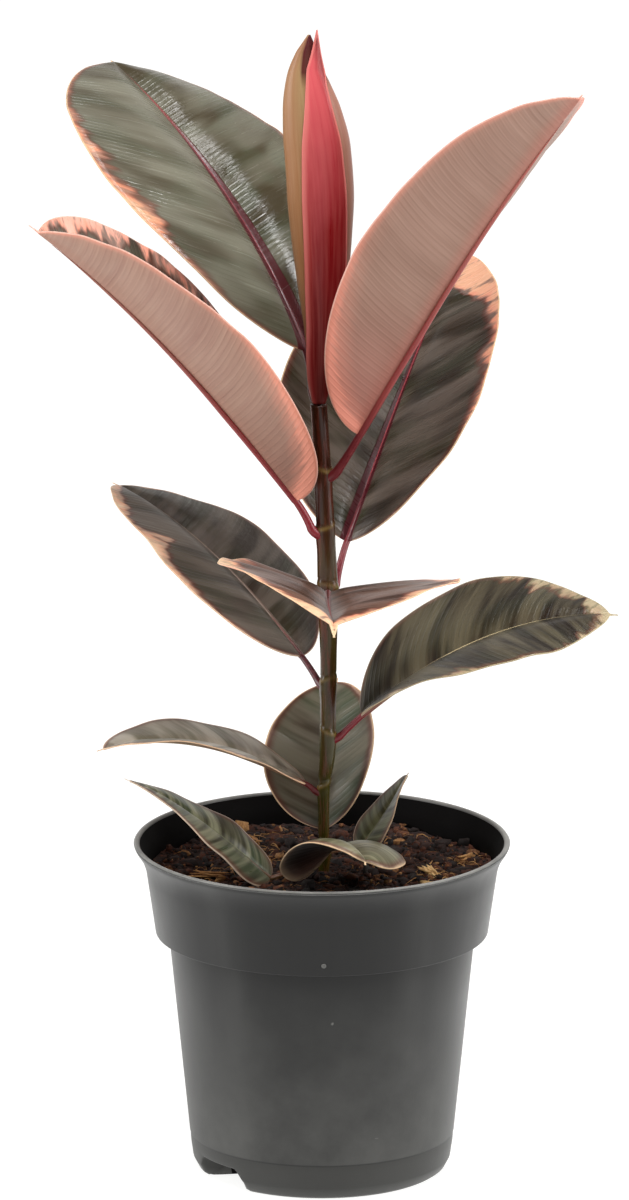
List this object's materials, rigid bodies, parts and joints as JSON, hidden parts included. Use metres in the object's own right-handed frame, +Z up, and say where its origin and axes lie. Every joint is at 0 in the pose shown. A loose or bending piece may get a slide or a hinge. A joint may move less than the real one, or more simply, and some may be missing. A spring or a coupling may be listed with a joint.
{
  "type": "potted rubber plant",
  "caption": "Young rubber plant with broad pink-edged leaves spiralling up a single stem, a pointed red bud, and a round grower's pot filled with soil.",
  "frame": {"origin": "middle of the pot's foot, on the surface that the pot stands on", "axes": "+Z up along the pot's axis; -Y towards the front leaf, which faces the viewer; +X to the viewer's right"},
  "size_m": [0.2638, 0.3204, 0.526],
  "materials": {
    "pot_plastic": "satin",
    "peat": "matte",
    "green_bark": "satin",
    "sheath_skin": "satin",
    "young_leaf_skin": "satin",
    "chip_wood": "matte",
    "upper_left_leaf_skin": "satin",
    "upper_right_leaf_skin": "satin",
    "left_spread_leaf_skin": "satin",
    "right_back_leaf_skin": "satin",
    "front_leaf_skin": "satin",
    "middle_left_leaf_skin": "satin",
    "right_arching_leaf_skin": "satin",
    "left_low_leaf_skin": "satin",
    "round_back_leaf_skin": "satin",
    "small_left_leaf_skin": "satin",
    "small_right_leaf_skin": "satin",
    "small_front_leaf_skin": "satin"
  },
  "bodies": {
    "root": {"pot": "pot_plastic", "potting_soil": "peat", "stem": "green_bark", "upper_left_leaf": "upper_left_leaf_skin", "upper_right_leaf": "upper_right_leaf_skin", "left_spread_leaf": "left_spread_leaf_skin", "right_back_leaf": "right_back_leaf_skin", "front_leaf": "front_leaf_skin", "middle_left_leaf": "middle_left_leaf_skin", "right_arching_leaf": "right_arching_leaf_skin", "left_low_leaf": "left_low_leaf_skin", "round_back_leaf": "round_back_leaf_skin", "small_left_leaf": "small_left_leaf_skin", "small_right_leaf": "small_right_leaf_skin", "small_front_leaf": "small_front_leaf_skin", "young_leaf": "young_leaf_skin", "bud_sheath": "sheath_skin", "wood_chip_right": "chip_wood", "wood_chip_right_front": "chip_wood", "wood_chip_far_right": "chip_wood", "wood_chip_back_left": "chip_wood", "wood_chip_back": "chip_wood", "root_twig_left": "chip_wood"}
  },
  "joints": []
}
